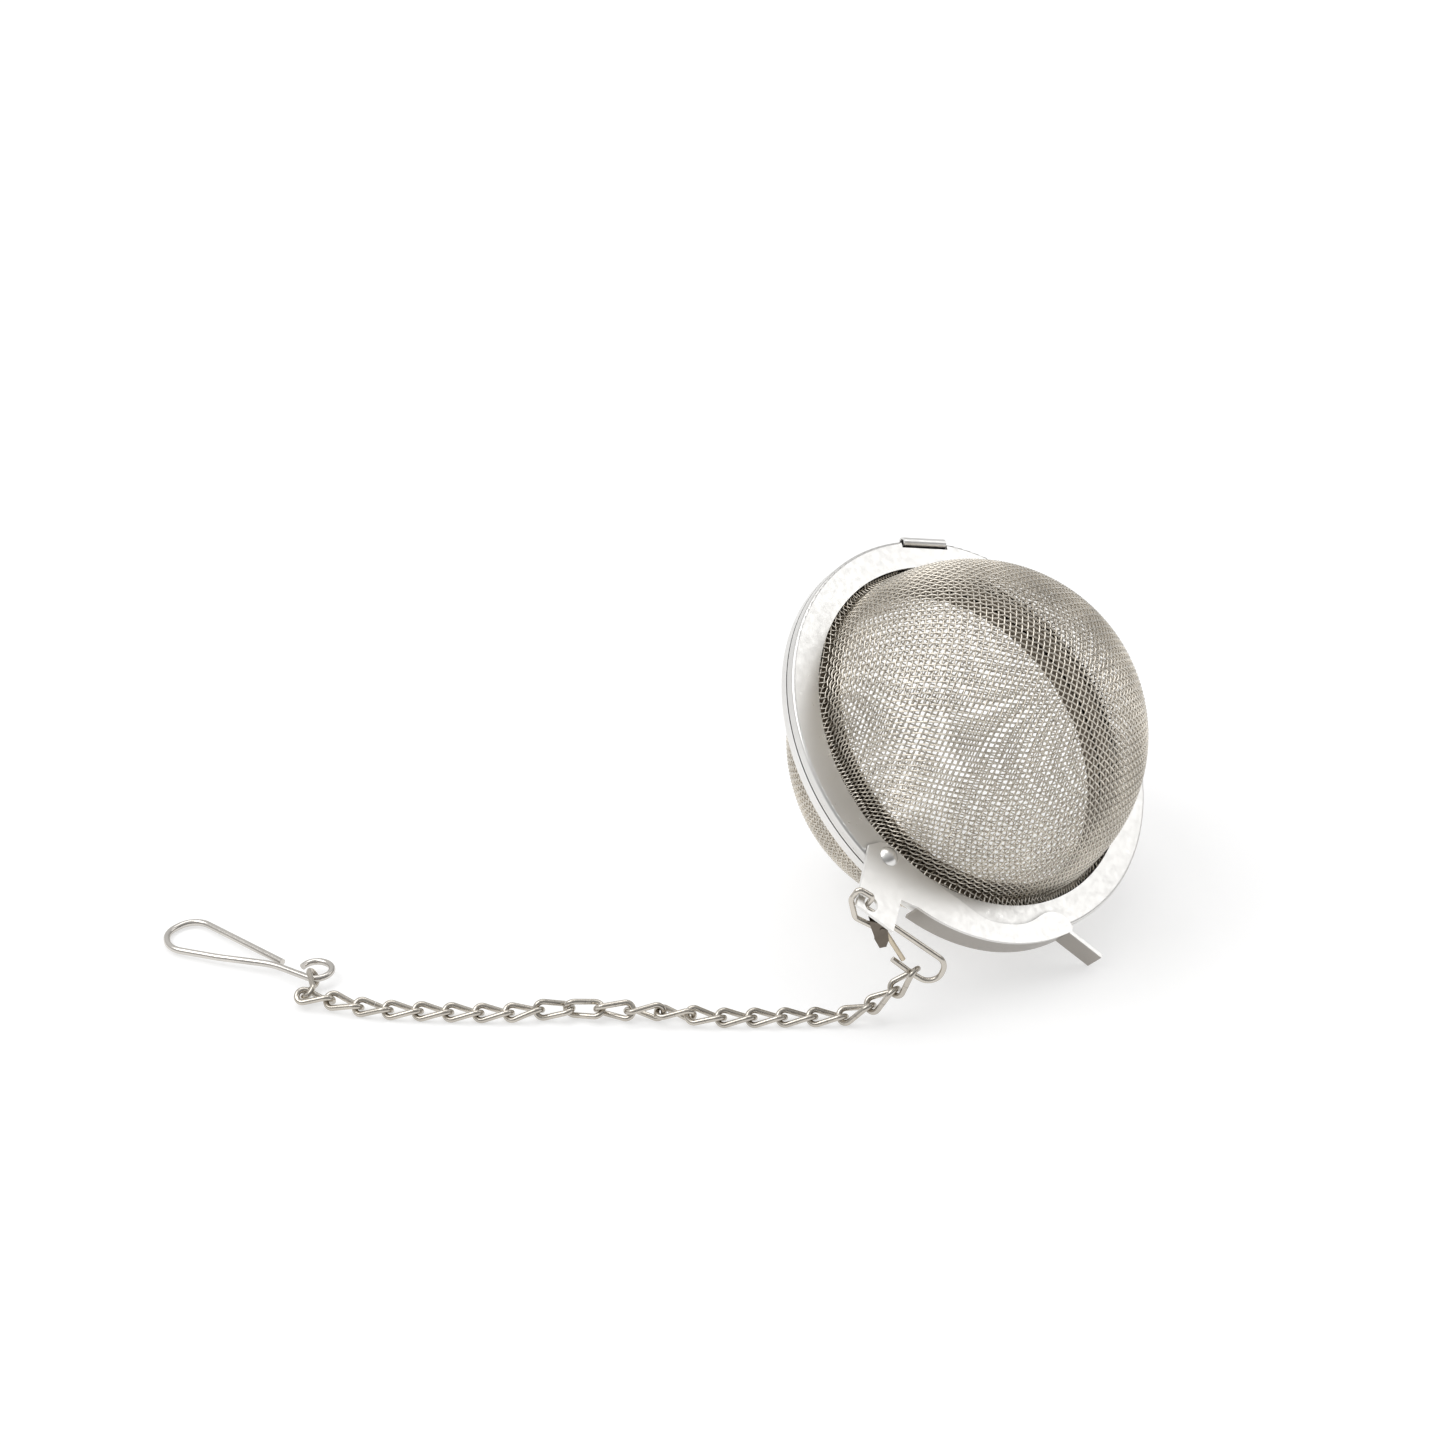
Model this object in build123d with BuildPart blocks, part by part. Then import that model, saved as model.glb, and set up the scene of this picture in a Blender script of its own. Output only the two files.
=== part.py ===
from build123d import *
import os
from math import asin, atan2, cos, degrees, radians, sin, sqrt

# Tea infuser: a latching ball of two wire mesh domes in sheet steel rims, with a snap
# clip, a twisted curb chain and a hanging hook. Millimetres, +Z up, table top at Z = 0.
# The ball leans on its back dome and its thumb tab, and the chain lies out along -X.

# ---- Driving dimensions -------------------------------------------------------------
# Ball pose
ball_x = 43.8            # centre of the front rim over the table
ball_y = 2.6
ball_tilt = 43.0         # rim plane from the table, degrees
ball_turn = -39.3        # compass direction that the front dome faces, degrees

# Ball
rim_radius = 29.75       # outside of both pressed rims
opening_radius = 25.6    # hole that the dome stands through
stack_height = 3.2       # both rims together
rim_gap = 0.2            # between the two skirts
rim_sheet = 0.45
rim_edge_round = 0.4
dome_radius = 24.6       # outside of the woven dome
dome_height = 24.0       # above the front face of its rim
mesh_thickness = 0.5     # two wires of the weave
mesh_flange_radius = 28.9
clamp_gap = 0.02         # between the layers of each half
foot_round = 0.7         # where the dome turns out into its flange
ring_bore = 22.75        # inner retaining ring
ring_outer = 28.9
ring_sheet = 0.4
ring_rise = 1.0          # top of its upstand above the rim face
ring_corner = 0.24

# Rim hinge
hinge_angle = 153.0      # round the rim from the steepest way down
hinge_radius = 29.475    # middle of the rim edge that the hook tab curls round
bar_inner = 29.2         # slot cut inside that edge
slot_inner = 28.5
slot_width = 8.0
tab_width = 7.4
curl_bore = 0.42         # radius
curl_sheet = 0.25
curl_seam = 0.3          # left open where the curl meets its own leg
flange_notch = 28.25     # mesh and ring are cut back to here behind the tab

# Latch lever
lever_sheet = 0.5
lever_gap = 0.06         # above the rim face
rivet_at = (7.2, -26.5)
rivet_shank = 0.9        # radius
rivet_head = 1.4         # radius
rivet_rise = 0.75
rivet_fit = 0.06
rivet_tail = 0.1         # stands past the retaining ring
lug_hole_at = (11.05, -34.05)
lug_hole = 1.08          # radius
thumb_tip = (35.33, -3.9)

# Snap clip
clip_wire = 0.8          # diameter
gate_wire = 0.7

# Chain
link_wire = 0.8          # diameter
link_pitch = 4.12
link_inner = 4.28        # inside length
link_half_width = 1.35   # wire centre from the chain line
link_corner = 1.03       # bend radius at the wire centre
link_twist = 45.0        # each end from the flat, one up and one down
link_butt = 0.03         # gap where the wire ends meet
link_count = 22

# Hook
hook_wire = 0.95         # diameter
hook_drop = 2.5          # slope down to the far end, degrees

# ---- Ball planes --------------------------------------------------------------------
lean = radians(ball_tilt)
turn = radians(ball_turn)
back_centre = stack_height - (dome_radius - dome_height)
ball_z = dome_radius + back_centre * cos(lean)
downhill = Vector(cos(turn) * cos(lean), sin(turn) * cos(lean), -sin(lean))
facing = Vector(cos(turn) * sin(lean), sin(turn) * sin(lean), cos(lean))
ball = Plane(origin=(ball_x, ball_y, ball_z), x_dir=downhill, z_dir=facing)
ball_axis = Axis(ball.origin, ball.z_dir)
section = Plane(origin=ball.origin, x_dir=ball.x_dir, z_dir=ball.y_dir * -1)
parting = ball.offset(-stack_height / 2)


def export(part, name):
    part.label = name
    export_step(part, f"parts/{name}.step")


os.makedirs("parts", exist_ok=True)

# ---- Rims, domes and retaining rings ------------------------------------------------
skirt_end = -(stack_height - rim_gap) / 2
hinge_turn = radians(hinge_angle)
out_dir = ball.x_dir * cos(hinge_turn) + ball.y_dir * sin(hinge_turn)
hinge_plane = Plane(origin=ball.origin, x_dir=out_dir, z_dir=ball.z_dir)
hinge_section = Plane(origin=ball.origin, x_dir=out_dir, z_dir=ball.z_dir.cross(out_dir) * -1)
bar_level = -rim_sheet / 2


def rim_profile():
    """Half section of a pressed rim: flat face, rounded shoulder and straight skirt."""
    with BuildLine() as outline:
        Polyline(
            (opening_radius, 0),
            (rim_radius, 0),
            (rim_radius, skirt_end),
            (rim_radius - rim_sheet, skirt_end),
            (rim_radius - rim_sheet, -rim_sheet),
            (opening_radius, -rim_sheet),
            close=True,
        )
    make_face(outline.edges())
    shoulder = vertices().sort_by_distance((rim_radius, 0))[0]
    lip = vertices().sort_by_distance((opening_radius, 0))[0]
    fillet(shoulder, rim_edge_round)
    fillet(lip, rim_sheet / 2)


def dome_profile():
    """Half section of the drawn mesh: a dome that turns out into a flat clamped flange."""
    centre = dome_height - dome_radius
    flange_top = -rim_sheet - clamp_gap
    foot_x = sqrt((dome_radius + foot_round) ** 2 - (flange_top + foot_round - centre) ** 2)
    foot_angle = atan2(flange_top + foot_round - centre, foot_x)
    touch = (dome_radius * cos(foot_angle), centre + dome_radius * sin(foot_angle))
    inner = dome_radius - mesh_thickness
    turned = foot_round + mesh_thickness
    inner_touch = (inner * cos(foot_angle), centre + inner * sin(foot_angle))
    middle = (foot_angle + radians(450)) / 2
    with BuildLine() as outline:
        CenterArc((0, centre), dome_radius, degrees(foot_angle), 90 - degrees(foot_angle))
        Line((0, centre + inner), (0, centre + dome_radius))
        CenterArc((0, centre), inner, degrees(foot_angle), 90 - degrees(foot_angle))
        foot_y = flange_top + foot_round
        foot_mid = (foot_x + foot_round * cos(middle), foot_y + foot_round * sin(middle))
        turned_mid = (foot_x + turned * cos(middle), foot_y + turned * sin(middle))
        ThreePointArc(touch, foot_mid, (foot_x, flange_top))
        ThreePointArc(inner_touch, turned_mid, (foot_x, flange_top - mesh_thickness))
        Line((foot_x, flange_top), (mesh_flange_radius, flange_top))
        Line((mesh_flange_radius, flange_top), (mesh_flange_radius, flange_top - mesh_thickness))
        Line((foot_x, flange_top - mesh_thickness), (mesh_flange_radius, flange_top - mesh_thickness))
    make_face(outline.edges())


def ring_profile():
    """Half section of the inner retaining ring: a flat washer with an upstand in its bore."""
    top = -rim_sheet - mesh_thickness - clamp_gap * 2
    with BuildLine() as outline:
        Polyline(
            (ring_bore, top - ring_sheet),
            (ring_outer, top - ring_sheet),
            (ring_outer, top),
            (ring_bore + ring_sheet, top),
            (ring_bore + ring_sheet, ring_rise),
            (ring_bore, ring_rise),
            close=True,
        )
    make_face(outline.edges())
    fillet(vertices().sort_by_distance((ring_bore, top - ring_sheet))[0], ring_corner)


def notch_for_tab():
    """Clears the hinge tab, through the whole stack."""
    with BuildSketch(hinge_plane) as notch:
        with Locations((rim_radius, 0)):
            Rectangle((rim_radius - flange_notch) * 2, slot_width)
    extrude(notch.sketch, amount=-stack_height, mode=Mode.SUBTRACT)


def hole_for_rivet(depth_from, depth_to, radius):
    with BuildSketch(ball.offset(depth_to)) as bore:
        with Locations(rivet_at):
            Circle(radius)
    extrude(bore.sketch, amount=depth_from - depth_to, mode=Mode.SUBTRACT)


with BuildPart() as front_rim:
    with BuildSketch(section):
        rim_profile()
    revolve(axis=ball_axis)
    # Slot inside the edge, and the skirt cut away below it, leave the edge as the hinge bar.
    with BuildSketch(hinge_plane):
        with Locations(((slot_inner + bar_inner) / 2, 0)):
            Rectangle(bar_inner - slot_inner, slot_width)
    extrude(amount=-rim_sheet, mode=Mode.SUBTRACT)
    with BuildSketch(hinge_plane.offset(-rim_sheet)):
        with Locations((rim_radius, 0)):
            Rectangle((rim_radius - slot_inner) * 2, slot_width)
    extrude(amount=-stack_height / 2, mode=Mode.SUBTRACT)
    hole_for_rivet(rim_sheet, -rim_sheet, rivet_shank + rivet_fit / 2)
export(front_rim.part, "front_rim")

with BuildPart() as front_mesh:
    with BuildSketch(section):
        dome_profile()
    revolve(axis=ball_axis)
    notch_for_tab()
    hole_for_rivet(0, -stack_height / 2, rivet_shank + rivet_fit)
export(front_mesh.part, "front_mesh")

with BuildPart() as front_retaining_ring:
    with BuildSketch(section):
        ring_profile()
    revolve(axis=ball_axis)
    notch_for_tab()
    hole_for_rivet(0, -stack_height / 2, rivet_shank + rivet_fit)
export(front_retaining_ring.part, "front_retaining_ring")

# The back half is the front half turned over about the parting plane.
with BuildPart() as back_rim:
    with BuildSketch(section):
        rim_profile()
    revolve(axis=ball_axis)
    mirror(about=parting, mode=Mode.REPLACE)
    # Hook tab: up from the face inside the skirt, through the slot and round the front edge.
    leg_x = hinge_radius - curl_bore - curl_sheet / 2
    leg_foot = -stack_height + rim_sheet / 2
    with BuildSketch(hinge_section):
        with Locations((hinge_radius, bar_level)):
            Circle(curl_bore + curl_sheet)
            Circle(curl_bore, mode=Mode.SUBTRACT)
        with Locations((hinge_radius, bar_level - curl_bore - curl_sheet / 2)):
            Rectangle(curl_seam, curl_sheet * 2, mode=Mode.SUBTRACT)
        with Locations((leg_x, (bar_level + leg_foot) / 2)):
            Rectangle(curl_sheet, bar_level - leg_foot)
    extrude(amount=tab_width / 2, both=True)
export(back_rim.part, "back_rim")

with BuildPart() as back_mesh:
    with BuildSketch(section):
        dome_profile()
    revolve(axis=ball_axis)
    mirror(about=parting, mode=Mode.REPLACE)
    notch_for_tab()
export(back_mesh.part, "back_mesh")

with BuildPart() as back_retaining_ring:
    with BuildSketch(section):
        ring_profile()
    revolve(axis=ball_axis)
    mirror(about=parting, mode=Mode.REPLACE)
    notch_for_tab()
export(back_retaining_ring.part, "back_retaining_ring")

# ---- Latch lever and its rivet ------------------------------------------------------
flange_start = (15.1, -26.8)
flange_middle = (23.6, -20.2)
flange_end = (29.75, -6.3)
lever_bottom = lever_gap
lever_top = lever_gap + lever_sheet

with BuildPart() as latch_lever:
    # Plate on the rim face: chain lug, rivet boss and a wavy spring arm.
    with BuildSketch(ball.offset(lever_bottom)):
        with BuildLine():
            wave = Spline(
                (29.6, -5.9), (27.2, -6.3), (25.9, -8.3), (25.7, -10.6), (25.3, -13.0),
                (23.8, -15.9), (21.9, -18.2), (19.4, -19.6), (17.1, -20.6),
            )
            inner = ThreePointArc(wave @ 1, (13.2, -22.6), (9.1, -24.2))
            Polyline(
                inner @ 1, (7.4, -24.7), (5.9, -25.3), (4.95, -26.4), (4.4, -28.3),
                (9.95, -36.22), (15.71, -33.54), (12.9, -29.2), (15.0, -27.4),
            )
            rim_side = ThreePointArc((15.0, -27.4), (23.9, -20.4), (30.0, -6.4))
            Line(rim_side @ 1, wave @ 0)
        make_face()
        with Locations(lug_hole_at):
            Circle(lug_hole, mode=Mode.SUBTRACT)
        with Locations(rivet_at):
            Circle(rivet_shank + rivet_fit, mode=Mode.SUBTRACT)
    extrude(amount=lever_sheet)
    # Edge flange that grips both rims, and the thumb tab that it flares out into.
    with BuildSketch(ball.offset(-stack_height)):
        with BuildLine():
            ThreePointArc(flange_start, flange_middle, flange_end)
        trace(line_width=lever_sheet)
    extrude(amount=stack_height + lever_top)
    with BuildSketch(ball.offset(-stack_height)):
        with BuildLine():
            Line(flange_end, thumb_tip)
        trace(line_width=lever_sheet)
    extrude(amount=stack_height)
export(latch_lever.part, "latch_lever")

with BuildPart() as latch_rivet:
    rivet_x, rivet_y = rivet_at
    head_under = lever_top + rivet_fit / 2
    tail_top = -rim_sheet - mesh_thickness - ring_sheet - rivet_fit
    rivet_base = ball.from_local_coords((rivet_x, rivet_y, 0))
    rivet_section = Plane(origin=rivet_base, x_dir=ball.x_dir, z_dir=ball.y_dir * -1)
    with BuildSketch(rivet_section):
        with BuildLine():
            Polyline(
                (0, head_under + rivet_rise),
                (0, tail_top - rivet_tail),
                (rivet_shank, tail_top - rivet_tail),
                (rivet_shank, head_under),
                (rivet_head, head_under),
            )
            cap_radius = (rivet_head**2 + rivet_rise**2) / (2 * rivet_rise)
            cap_angle = asin(rivet_head / cap_radius) / 2
            cap_top = head_under + rivet_rise
            cap_middle = (cap_radius * sin(cap_angle), cap_top - cap_radius * (1 - cos(cap_angle)))
            ThreePointArc((rivet_head, head_under), cap_middle, (0, cap_top))
        make_face()
    revolve(axis=Axis(rivet_base, ball.z_dir))
export(latch_rivet.part, "latch_rivet")

# ---- Snap clip ----------------------------------------------------------------------
clip_hangs_at = (10.7, -34.2)    # its wire stands on the outer side of the lug's hole
hang_point = ball.from_local_coords((*clip_hangs_at, lever_bottom + lever_sheet / 2))
clip = Plane(origin=hang_point, x_dir=(1, 0, 0), z_dir=(0, -1, 0))
clip_route = [
    (3.4, -9.0), (6.4, -11.6), (9.3, -13.6), (10.7, -9.6), (1.5, -2.15), (-0.46, -0.66),
    (0.68, 0.95), (-1.3, 2.3), (-2.3, 0.6), (-1.7, -2.3), (0.95, -3.85), (2.05, -5.9),
]
clip_bends = [4.0, 1.9, 1.85, 1.6, 0.5, 0.55, 0.6, 1.1, 1.0, 1.0]
sleeve_plate = [
    (0.1, -2.5), (1.9, -2.9), (2.6, -3.5), (2.85, -5.5), (2.55, -6.6), (1.75, -6.8), (1.0, -5.3),
]
sleeve_inside = 0.84     # between its two side plates
sleeve_sheet = 0.2
gate_pivot = (2.0, -3.95)
gate_nose = (4.88, -9.1)
gate_root = 0.42         # radius of the flattened end round the pin
pin_radius = 0.22
pin_press = 0.01         # pin in the sleeve
pin_fit = 0.04           # gate on its pin
pin_head = 0.374         # radius
pin_head_height = 0.15


def wire_along(plane, points, bends, diameter):
    """Round wire along straight runs joined by tangent bends."""
    with BuildLine(plane) as route:
        FilletPolyline(*points, radius=bends)
    with BuildSketch(Plane(origin=route.line @ 0, z_dir=route.line % 0)) as wire_end:
        Circle(diameter / 2)
    sweep(wire_end.sketch, path=route.line)


with BuildPart() as snap_clip:
    wire_along(clip, clip_route, clip_bends, clip_wire)
export(snap_clip.part, "snap_clip")

# Folded sheet sleeve that holds the end of the wire and the root of the gate.
with BuildPart() as clip_sleeve:
    with BuildSketch(clip):
        with BuildLine():
            Polyline(*sleeve_plate, close=True)
        make_face()
        with Locations(gate_pivot):
            Circle(pin_radius, mode=Mode.SUBTRACT)
    extrude(amount=sleeve_inside / 2 + sleeve_sheet, both=True)
    with BuildSketch(clip):
        with BuildLine():
            Polyline(*sleeve_plate, close=True)
        make_face()
    extrude(amount=sleeve_inside / 2, both=True, mode=Mode.SUBTRACT)
    with BuildSketch(clip):
        with BuildLine():
            Line(sleeve_plate[-1], sleeve_plate[-2])
        trace(line_width=sleeve_sheet)
    extrude(amount=sleeve_inside / 2 + sleeve_sheet, both=True)
export(clip_sleeve.part, "clip_sleeve")

with BuildPart() as gate_pin:
    with BuildSketch(clip):
        with Locations(gate_pivot):
            Circle(pin_radius - pin_press)
    extrude(amount=sleeve_inside / 2 + sleeve_sheet, both=True)
    with BuildSketch(clip.offset(sleeve_inside / 2 + sleeve_sheet)):
        with Locations(gate_pivot):
            Circle(pin_head)
    extrude(amount=pin_head_height)
    with BuildSketch(clip.offset(-sleeve_inside / 2 - sleeve_sheet)):
        with Locations(gate_pivot):
            Circle(pin_head)
    extrude(amount=-pin_head_height)
export(gate_pin.part, "gate_pin")

with BuildPart() as clip_gate:
    gate_line = Vector(gate_nose[0] - gate_pivot[0], gate_nose[1] - gate_pivot[1], 0)
    gate_dir = clip.x_dir * gate_line.X + clip.y_dir * gate_line.Y
    gate_start = clip.from_local_coords((gate_pivot[0], gate_pivot[1], 0))
    with BuildSketch(Plane(origin=gate_start, z_dir=gate_dir)):
        Circle(gate_wire / 2)
    extrude(amount=gate_line.length)
    with BuildSketch(clip):
        with Locations(gate_pivot):
            Circle(gate_root)
    extrude(amount=gate_wire / 2, both=True)
    with BuildSketch(clip):
        with Locations(gate_pivot):
            Circle(pin_radius + pin_fit)
    extrude(amount=gate_wire, both=True, mode=Mode.SUBTRACT)
export(clip_gate.part, "clip_gate")

# ---- Chain --------------------------------------------------------------------------
# Route of the chain line: from the clip down to the table, then along it to the hook.
# It runs higher where the links lie half turned over.
lying = 1.0
rolled = 1.62
part_rolled = 1.4
start_joint = (-8.96, -31.6, 8.46)               # in the bend of the clip
start_bearings = [(180.6, -49.9), (180.8, -38.7), (179.7, -24.9)]    # links 1 to 3
last_flat_link = 8
roll_step = 30.0         # from one link to the next, degrees
rolling_links = 6
end_roll = {1: -10.5, 2: -3, 21: 14, 22: 99}
end_bearings = [(163.7, 4.15), (170.0, 2.75)]    # heading and rise of links 20 and 21
corner_shift = (0.93, 0.31, 0.09)
last_bearing = (83.5, 2.3)
eye_wire_shift = (-0.40, -0.69, -0.05)           # from the last joint to the wire of the eye
route_from_ball = [
    (-30.0, -31.9, lying), (-35.0, -31.9, lying), (-39.2, -31.8, part_rolled),
    (-43.2, -31.4, rolled), (-56.0, -30.5, rolled), (-60.0, -30.7, part_rolled),
    (-64.5, -30.9, lying), (-73.0, -30.6, lying), (-80.0, -30.1, lying), (-86.5, -28.9, lying),
    (-92.2, -27.6, lying), (-96.0, -26.8, lying),
]


def step_along(points, pitch, count):
    """Joints a pitch apart, as chords along a run of points."""
    joints = [points[0]]
    piece = 0
    while len(joints) < count:
        start = joints[-1]
        while (points[piece + 1] - start).length < pitch:
            piece += 1
        low = 0.0
        high = 1.0
        run = points[piece + 1] - points[piece]
        for _ in range(40):
            middle = (low + high) / 2
            if (points[piece] + run * middle - start).length < pitch:
                low = middle
            else:
                high = middle
        joints.append(points[piece] + run * high)
    return joints


def link_roll(number):
    """Roll about the chain line: half a turn midway, and a little more at both ends."""
    half_turn = roll_step * min(max(number - last_flat_link, 0), rolling_links)
    return half_turn + end_roll.get(number, 0)


def bearing(heading, rise):
    """Unit direction from a compass heading and a rise, in degrees."""
    flat = cos(radians(rise))
    return Vector(cos(radians(heading)) * flat, sin(radians(heading)) * flat, sin(radians(rise)))


chain_start = Vector(ball_x, ball_y, 0)
joints = [chain_start + Vector(*start_joint)]
for start_bearing in start_bearings:
    joints.append(joints[-1] + bearing(*start_bearing) * link_pitch)
route = [joints.pop()] + [chain_start + Vector(*point) for point in route_from_ball]
joints += step_along(route, link_pitch, link_count - len(start_bearings) - len(end_bearings))
for end_bearing in end_bearings:
    joints.append(joints[-1] + bearing(*end_bearing) * link_pitch)
# The last link hangs in the rounded corner of the one before and turns back to the eye.
corner_joint = joints[-1] + Vector(*corner_shift)
eye_joint = corner_joint + bearing(*last_bearing) * link_pitch
half_length = (link_inner + link_wire) / 2

for number in range(1, link_count + 1):
    near = joints[number - 1] if number < link_count else corner_joint
    far = joints[number] if number < link_count else eye_joint
    along = (far - near).normalized()
    level = Vector(-along.Y, along.X, 0).normalized()
    upright = along.cross(level)
    roll = radians(link_roll(number))
    across = level * cos(roll) + upright * sin(roll)
    link_plane = Plane(origin=(near + far) / 2, x_dir=along, z_dir=along.cross(across))
    up = link_half_width * sin(radians(link_twist))
    side = link_half_width * cos(radians(link_twist))
    slope = Vector(half_length * 2, 0, -up * 2).normalized() * (link_butt / 2)
    bend_points = [
        (slope.X, side, slope.Z),
        (half_length, side, -up),
        (half_length, -side, up),
        (-half_length, -side, -up),
        (-half_length, side, up),
        (-slope.X, side, -slope.Z),
    ]
    with BuildPart() as chain_link:
        wire_along(link_plane, bend_points, link_corner, link_wire)
    export(chain_link.part, f"chain_link_{number:02d}")

# ---- Hanging hook -------------------------------------------------------------------
# Plan of the bent wire from the free end, round the far loop and back to the closed eye.
hook_route = [
    (5.3, 0.1), (22.9, -3.4), (24.4, 1.5), (21.6, 4.6), (14.0, 3.2), (6.2, 1.15),
    (-2.15, 1.75), (-2.15, -2.55), (2.15, -2.55), (2.15, -0.3),
]
hook_bends = [3.0, 3.2, 3.5, 20.0, 10.0, 2.05, 2.05, 2.05]
eye_touch = (-0.48, 1.7)     # where the last chain link hangs, in the hook's plan
hook_heading = 149.65    # compass direction of its far end, degrees
hook_turn = radians(hook_heading)
drop = radians(hook_drop)
hook_x = Vector(cos(hook_turn) * cos(drop), sin(hook_turn) * cos(drop), -sin(drop))
hook_y = Vector(-sin(hook_turn), cos(hook_turn), 0)
eye_wire_centre = eye_joint + Vector(*eye_wire_shift)
hook_origin = eye_wire_centre - hook_x * eye_touch[0] - hook_y * eye_touch[1]
hook = Plane(origin=hook_origin, x_dir=hook_x, z_dir=hook_x.cross(hook_y))

with BuildPart() as hanging_hook:
    wire_along(hook, hook_route, hook_bends, hook_wire)
export(hanging_hook.part, "hanging_hook")
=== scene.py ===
"""Tea infuser: a latching ball of woven wire domes, with its clip, chain and hanging hook.

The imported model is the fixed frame. The two domes are rebuilt here as woven wire, and
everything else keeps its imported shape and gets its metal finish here. Metres throughout.
"""
import math

import bpy
import numpy as np
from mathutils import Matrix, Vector


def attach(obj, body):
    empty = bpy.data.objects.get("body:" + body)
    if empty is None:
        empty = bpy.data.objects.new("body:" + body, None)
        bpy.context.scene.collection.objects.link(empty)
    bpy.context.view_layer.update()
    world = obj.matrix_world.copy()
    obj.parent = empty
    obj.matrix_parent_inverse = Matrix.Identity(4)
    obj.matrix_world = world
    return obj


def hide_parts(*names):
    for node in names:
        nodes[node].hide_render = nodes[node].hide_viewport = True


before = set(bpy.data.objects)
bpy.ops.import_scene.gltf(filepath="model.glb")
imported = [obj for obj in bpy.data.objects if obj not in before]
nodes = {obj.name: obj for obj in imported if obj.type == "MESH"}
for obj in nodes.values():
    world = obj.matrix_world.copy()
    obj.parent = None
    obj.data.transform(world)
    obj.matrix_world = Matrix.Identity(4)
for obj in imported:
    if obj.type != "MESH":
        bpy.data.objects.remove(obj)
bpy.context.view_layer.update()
scene = bpy.context.scene
MM = 0.001

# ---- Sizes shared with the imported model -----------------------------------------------
BALL_CENTRE = np.array([43.8, 2.6, 26.5015]) * MM    # middle of the front rim's face
BALL_TILT = math.radians(43.0)
BALL_TURN = math.radians(-39.3)
STACK = 3.2 * MM                # both rims together
DOME_RADIUS = 24.35 * MM        # middle of the weave
DOME_BASE = -0.6 * MM           # centre of the dome below the rim's face
FOOT_CENTRE = (25.286 * MM, 0.23 * MM)
FOOT_RADIUS = 0.95 * MM
WEAVE_END = 26.3 * MM           # under the rim
WIRE = 0.24 * MM                # diameter of the mesh wire
PITCH = 0.82 * MM               # from wire to wire
CRIMP = 0.12 * MM               # how far a wire goes over and under
WEAVE_TURN = math.radians(38.0)

down = np.array([
    math.cos(BALL_TURN) * math.cos(BALL_TILT),
    math.sin(BALL_TURN) * math.cos(BALL_TILT),
    -math.sin(BALL_TILT),
])
out = np.array([
    math.cos(BALL_TURN) * math.sin(BALL_TILT),
    math.sin(BALL_TURN) * math.sin(BALL_TILT),
    math.cos(BALL_TILT),
])
side = np.cross(out, down)

# ---- Camera ---------------------------------------------------------------------------
camera_data = bpy.data.cameras.new("camera")
camera_data.sensor_width = 36.0
camera_data.lens = 98.66
camera_data.clip_start = 0.01
camera_data.clip_end = 20.0
camera = bpy.data.objects.new("camera", camera_data)
scene.collection.objects.link(camera)
camera.location = Vector(BALL_CENTRE) + Vector((-0.0348, -0.4686, 0.2873))
camera.rotation_euler = (math.radians(90 - 31.35), 0, 0)
scene.camera = camera


# ---- Materials ------------------------------------------------------------------------
def metal(name, colour, roughness, spread, grain, bump, tarnish):
    """Steel with fine uneven polish: its colour, gloss and surface all vary a little."""
    material = bpy.data.materials.new(name)
    material.use_nodes = True
    tree = material.node_tree
    shader = tree.nodes["Principled BSDF"]
    shader.inputs["Metallic"].default_value = 1.0
    place = tree.nodes.new("ShaderNodeTexCoord")

    def noise(size, detail, rough):
        texture = tree.nodes.new("ShaderNodeTexNoise")
        texture.inputs["Scale"].default_value = size
        texture.inputs["Detail"].default_value = detail
        texture.inputs["Roughness"].default_value = rough
        tree.links.new(place.outputs["Object"], texture.inputs["Vector"])
        return texture.outputs["Fac"]

    cloud = noise(grain * 0.16, 3.0, 0.5)
    fine = noise(grain * 2.2, 4.0, 0.6)
    ramp = tree.nodes.new("ShaderNodeValToRGB")
    ramp.color_ramp.elements[0].position = 0.32
    ramp.color_ramp.elements[1].position = 0.66
    ramp.color_ramp.elements[0].color = (*[c * (1 - tarnish) for c in colour], 1)
    ramp.color_ramp.elements[1].color = (*[min(1.0, c * (1 + tarnish * 0.25)) for c in colour], 1)
    tree.links.new(cloud, ramp.inputs["Fac"])
    tree.links.new(ramp.outputs["Color"], shader.inputs["Base Color"])
    gloss = tree.nodes.new("ShaderNodeMapRange")
    gloss.inputs["From Min"].default_value = 0.3
    gloss.inputs["From Max"].default_value = 0.7
    gloss.inputs["To Min"].default_value = roughness - spread
    gloss.inputs["To Max"].default_value = roughness + spread
    tree.links.new(fine, gloss.inputs["Value"])
    tree.links.new(gloss.outputs["Result"], shader.inputs["Roughness"])
    rise = tree.nodes.new("ShaderNodeBump")
    rise.inputs["Strength"].default_value = bump
    rise.inputs["Distance"].default_value = 0.00005
    tree.links.new(fine, rise.inputs["Height"])
    tree.links.new(rise.outputs["Normal"], shader.inputs["Normal"])
    return material


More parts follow.
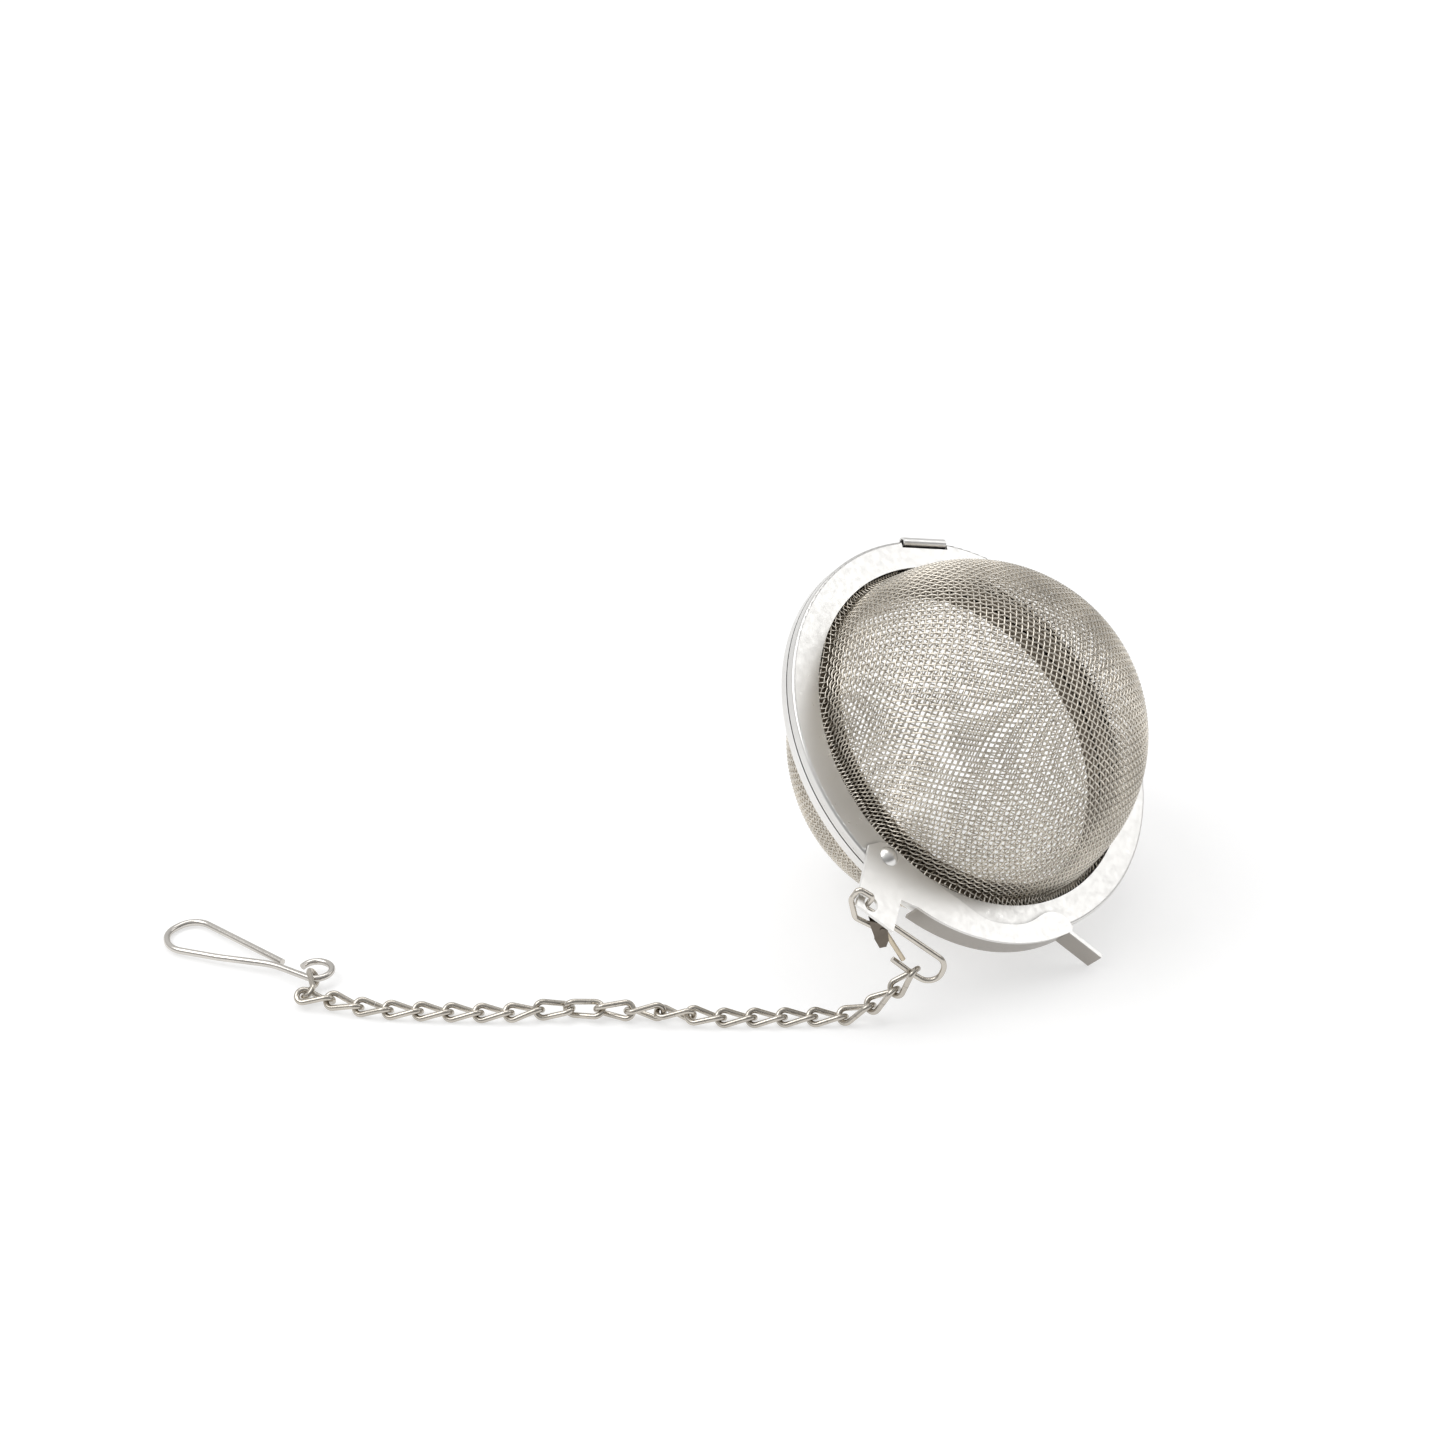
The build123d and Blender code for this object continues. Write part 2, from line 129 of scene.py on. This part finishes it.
rim_steel = metal("rim_steel", (0.76, 0.75, 0.73), 0.33, 0.06, 500, 0.03, 0.04)
# painted light: the back rim gets a lighter copy of the rim steel, lifting the dark reflections on it
back_rim_painted_light_steel = metal("back_rim_painted_light_steel", (0.86, 0.85, 0.83), 0.36, 0.06, 500, 0.03, 0.04)
mesh_wire = metal("mesh_wire", (0.76, 0.71, 0.63), 0.26, 0.08, 1200, 0.1, 0.16)
# painted shade: the retaining rings get a near-black base colour for the shade and dark reflections
# inside the ball
ring_steel = metal("ring_steel", (0.17, 0.145, 0.115), 0.42, 0.08, 700, 0.1, 0.12)
lever_steel = metal("lever_steel", (0.80, 0.79, 0.77), 0.32, 0.04, 600, 0.01, 0.03)
chain_steel = metal("chain_steel", (0.58, 0.54, 0.48), 0.22, 0.07, 1500, 0.1, 0.16)
hook_wire = metal("hook_wire", (0.66, 0.63, 0.59), 0.2, 0.06, 1200, 0.08, 0.12)
clip_wire = metal("clip_wire", (0.62, 0.58, 0.52), 0.22, 0.06, 1500, 0.1, 0.12)
gate_wire = metal("gate_wire", (0.62, 0.54, 0.42), 0.24, 0.06, 1500, 0.1, 0.12)
# painted reflection: the clip sleeve and gate pin get a near-black base colour for the dark reflections
# on their flat faces
sleeve_steel = metal("sleeve_steel", (0.17, 0.145, 0.12), 0.36, 0.08, 1500, 0.12, 0.16)

finishes = {
    "front_rim": rim_steel,
    "back_rim": back_rim_painted_light_steel,
    "front_retaining_ring": ring_steel,
    "back_retaining_ring": ring_steel,
    "latch_lever": lever_steel,
    "latch_rivet": lever_steel,
    "snap_clip": clip_wire,
    "clip_sleeve": sleeve_steel,
    "gate_pin": sleeve_steel,
    "clip_gate": gate_wire,
    "hanging_hook": hook_wire,
}


def paint_reflected_shade_below(material, node, level, reflected_shade_colour):
    """Painted reflection: darkens the base colour of the faces under a level of the ball's axis, the
    edge flange and the tab, standing for the shaded floor under the ball that they reflect.
    """
    tree = material.node_tree
    shader = tree.nodes["Principled BSDF"]
    to_node = node.matrix_world.inverted()
    axis = (to_node.to_3x3() @ Vector(out)).normalized()
    start = to_node @ Vector(BALL_CENTRE)
    place = tree.nodes.new("ShaderNodeTexCoord")
    height = tree.nodes.new("ShaderNodeVectorMath")
    height.operation = "DOT_PRODUCT"
    height.inputs[1].default_value = axis
    tree.links.new(place.outputs["Object"], height.inputs[0])
    ranged = tree.nodes.new("ShaderNodeMapRange")
    ranged.inputs["From Min"].default_value = axis.dot(start) + level - 0.1 * MM
    ranged.inputs["From Max"].default_value = axis.dot(start) + level + 0.1 * MM
    tree.links.new(height.outputs["Value"], ranged.inputs["Value"])
    mix = tree.nodes.new("ShaderNodeMix")
    mix.data_type = "RGBA"
    mix.inputs["A"].default_value = (*reflected_shade_colour, 1)
    tree.links.new(ranged.outputs["Result"], mix.inputs["Factor"])
    old = shader.inputs["Base Color"].links[0].from_socket
    tree.links.new(old, mix.inputs["B"])
    tree.links.new(mix.outputs["Result"], shader.inputs["Base Color"])




def paint_contact_shade(material, reach, depth):
    """Painted shade: darkens the steel's base colour by ambient occlusion where another piece sits
    close over it.
    """
    tree = material.node_tree
    shader = tree.nodes["Principled BSDF"]
    near = tree.nodes.new("ShaderNodeAmbientOcclusion")
    near.inputs["Distance"].default_value = reach
    near.samples = 8
    ranged = tree.nodes.new("ShaderNodeMapRange")
    ranged.inputs["From Min"].default_value = 0.35
    ranged.inputs["From Max"].default_value = 0.95
    ranged.inputs["To Min"].default_value = depth
    tree.links.new(near.outputs["AO"], ranged.inputs["Value"])
    mix = tree.nodes.new("ShaderNodeMix")
    mix.data_type = "RGBA"
    mix.blend_type = "MULTIPLY"
    mix.inputs["Factor"].default_value = 1.0
    old = shader.inputs["Base Color"].links[0].from_socket
    tree.links.new(old, mix.inputs["A"])
    tree.links.new(ranged.outputs["Result"], mix.inputs["B"])
    tree.links.new(mix.outputs["Result"], shader.inputs["Base Color"])


# painted shade: dark contact lines on the front rim round the lever and rivet
paint_contact_shade(rim_steel, 0.7 * MM, 0.25)
# painted reflection: the lever's flange and tab get a darker base colour for the shaded floor they
# reflect
paint_reflected_shade_below(lever_steel, nodes["latch_lever"], -0.1 * MM, (0.40, 0.375, 0.345))
for name, node in nodes.items():
    finish = finishes.get(name, chain_steel)
    node.data.materials.clear()
    node.data.materials.append(finish)


# ---- Woven domes ----------------------------------------------------------------------
def weave_net(step):
    """Grid of unit directions on a sphere, all cells having sides of the same length.

    Cloth that is drawn into a dome keeps its wires' length and only shears, so each new
    crossing is the mirror image of the one before it across its two neighbours.
    """
    reach = int(math.radians(96.0) / step) + 1
    net = {(0, 0): np.array([0.0, 0.0, 1.0])}
    for i in range(1, reach):
        net[i, 0] = np.array([math.sin(i * step), 0.0, math.cos(i * step)])
        net[0, i] = np.array([0.0, math.sin(i * step), math.cos(i * step)])
    for i in range(1, reach):
        for j in range(1, reach):
            if (i, j - 1) not in net or (i - 1, j) not in net:
                continue
            across = np.cross(net[i, j - 1], net[i - 1, j])
            size = np.linalg.norm(across)
            if size < step * 0.25:
                continue
            across = across / size
            corner = net[i - 1, j - 1]
            new = corner - 2 * corner.dot(across) * across
            if math.acos(np.clip(new[2], -1, 1)) < math.radians(100.0):
                net[i, j] = new
    return net


def dome_point(direction):
    """(place, surface normal) in the rim's frame for a direction of the net."""
    travel = math.acos(np.clip(direction[2], -1, 1)) * DOME_RADIUS
    length = math.hypot(direction[0], direction[1])
    east = direction[0] / length if length else 1.0
    north = direction[1] / length if length else 0.0
    touch = math.asin((FOOT_CENTRE[1] - DOME_BASE) / (DOME_RADIUS + FOOT_RADIUS))
    on_dome = (math.pi / 2 - touch) * DOME_RADIUS
    on_foot = on_dome + (math.pi / 2 - touch) * FOOT_RADIUS
    if travel <= on_dome:
        angle = travel / DOME_RADIUS
        r, z = DOME_RADIUS * math.sin(angle), DOME_BASE + DOME_RADIUS * math.cos(angle)
        nr, nz = math.sin(angle), math.cos(angle)
    elif travel <= on_foot:
        angle = math.pi + touch + (travel - on_dome) / FOOT_RADIUS
        nr, nz = -math.cos(angle), -math.sin(angle)
        r, z = FOOT_CENTRE[0] - nr * FOOT_RADIUS, FOOT_CENTRE[1] - nz * FOOT_RADIUS
    else:
        r, z = FOOT_CENTRE[0] + travel - on_foot, FOOT_CENTRE[1] - FOOT_RADIUS
        nr, nz = 0.0, 1.0
    return np.array([r * east, r * north, z]), np.array([nr * east, nr * north, nz]), r


def dome_wires(net, swap):
    """Wires of one direction of the weave, each a list of (place, normal)."""
    reach = max(i for i, _ in net) + 1
    wires = []
    for j in range(-reach, reach):
        wire = []
        for i in range(-reach, reach):
            key = (abs(j), abs(i)) if swap else (abs(i), abs(j))
            if key not in net:
                continue
            direction = net[key].copy()
            if swap:
                direction[0] *= 1 if j >= 0 else -1
                direction[1] *= 1 if i >= 0 else -1
            else:
                direction[0] *= 1 if i >= 0 else -1
                direction[1] *= 1 if j >= 0 else -1
            place, normal, radius = dome_point(direction)
            if radius > WEAVE_END:
                continue
            over = 1 if (i + j) % 2 == 0 else -1
            if swap:
                over = -over
            wire.append((place + normal * CRIMP * over, normal))
        if len(wire) > 3:
            wires.append(wire)
    return wires


def wire_mesh(name, wires, to_world, sides=6):
    """One mesh of round wires, closed at both ends."""
    vertices = []
    faces = []
    for wire in wires:
        places = np.array([p for p, _ in wire])
        normals = np.array([n for _, n in wire])
        along = np.gradient(places, axis=0)
        along /= np.linalg.norm(along, axis=1)[:, None]
        across = np.cross(along, normals)
        across /= np.linalg.norm(across, axis=1)[:, None]
        up = np.cross(across, along)
        first = len(vertices)
        for k in range(len(wire)):
            for s in range(sides):
                turn = 2 * math.pi * s / sides
                edge = across[k] * math.cos(turn) + up[k] * math.sin(turn)
                vertices.append(to_world(places[k] + edge * WIRE / 2))
        for k in range(len(wire) - 1):
            for s in range(sides):
                a = first + k * sides + s
                b = first + k * sides + (s + 1) % sides
                faces.append((a, b, b + sides, a + sides))
        faces.append(tuple(first + s for s in reversed(range(sides))))
        last = first + (len(wire) - 1) * sides
        faces.append(tuple(last + s for s in range(sides)))
    mesh = bpy.data.meshes.new(name)
    mesh.from_pydata([tuple(v) for v in vertices], [], faces)
    mesh.validate()
    mesh.polygons.foreach_set("use_smooth", [len(p.vertices) == 4 for p in mesh.polygons])
    mesh.update()
    piece = bpy.data.objects.new(name, mesh)
    scene.collection.objects.link(piece)
    return piece


def in_rim_plane(p):
    """Place in the rim plane of a point of the weave, turned as the cloth was cut."""
    x = p[0] * math.cos(WEAVE_TURN) - p[1] * math.sin(WEAVE_TURN)
    y = p[0] * math.sin(WEAVE_TURN) + p[1] * math.cos(WEAVE_TURN)
    return BALL_CENTRE + down * x + side * y


def front_place(p):
    return in_rim_plane(p) + out * p[2]


def back_place(p):
    return in_rim_plane(p) + out * (-STACK - p[2])


net = weave_net(PITCH / DOME_RADIUS)
for half, place in (("front", front_place), ("back", back_place)):
    for run, swap in (("warp", False), ("weft", True)):
        piece = wire_mesh(f"{half}_{run}", dome_wires(net, swap), place)
        piece.data.materials.append(mesh_wire)
        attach(piece, f"{half}_half")
        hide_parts(f"{half}_mesh")

# ---- Floor and light ------------------------------------------------------------------
floor_mesh = bpy.data.meshes.new("floor")
FLOOR = 3.0
floor_mesh.from_pydata(
    [(-FLOOR, -FLOOR, 0), (FLOOR, -FLOOR, 0), (FLOOR, FLOOR, 0), (-FLOOR, FLOOR, 0)], [], [(0, 1, 2, 3)]
)
floor = bpy.data.objects.new("floor", floor_mesh)
scene.collection.objects.link(floor)
paper = bpy.data.materials.new("paper")
paper.use_nodes = True
paper.node_tree.nodes["Principled BSDF"].inputs["Base Color"].default_value = (0.5, 0.5, 0.5, 1)
paper.node_tree.nodes["Principled BSDF"].inputs["Roughness"].default_value = 0.9
paper.node_tree.nodes["Principled BSDF"].inputs["Specular IOR Level"].default_value = 0.1
paper.node_tree.nodes["Principled BSDF"].inputs["Emission Color"].default_value = (1, 1, 1, 1)
paper.node_tree.nodes["Principled BSDF"].inputs["Emission Strength"].default_value = 0.56
floor_mesh.materials.append(paper)

world = bpy.data.worlds.new("studio")
world.use_nodes = True
sky = world.node_tree.nodes["Background"]
sky.inputs["Color"].default_value = (1, 1, 1, 1)
toward = world.node_tree.nodes.new("ShaderNodeTexCoord")
facing = world.node_tree.nodes.new("ShaderNodeVectorMath")
facing.operation = "DOT_PRODUCT"
facing.inputs[1].default_value = (-0.35, 0.45, 0.82)    # the bright side of the studio
world.node_tree.links.new(toward.outputs["Generated"], facing.inputs[0])
sky_range = world.node_tree.nodes.new("ShaderNodeMapRange")
sky_range.inputs["From Min"].default_value = -0.3
sky_range.inputs["From Max"].default_value = 0.85
sky_range.inputs["To Min"].default_value = 0.2
sky_range.inputs["To Max"].default_value = 0.78
world.node_tree.links.new(facing.outputs["Value"], sky_range.inputs["Value"])
world.node_tree.links.new(sky_range.outputs["Result"], sky.inputs["Strength"])
scene.world = world
scene.view_settings.view_transform = "Standard"


def softbox(name, place, size, power, aim=(0.02, 0, 0.02)):
    light = bpy.data.lights.new(name, "AREA")
    light.shape = "RECTANGLE"
    light.size, light.size_y = size
    light.energy = power
    lamp = bpy.data.objects.new(name, light)
    scene.collection.objects.link(lamp)
    lamp.location = place
    lamp.rotation_euler = (Vector(aim) - Vector(place)).to_track_quat("-Z", "Y").to_euler()
    return lamp


softbox("key", (-0.50, -0.10, 0.80), (0.6, 0.6), 3.0)
softbox("rim_side", (0.95, 0.25, 0.62), (0.6, 0.5), 1.2)
softbox("top", (0.05, 0.30, 0.95), (0.6, 0.4), 1.6)
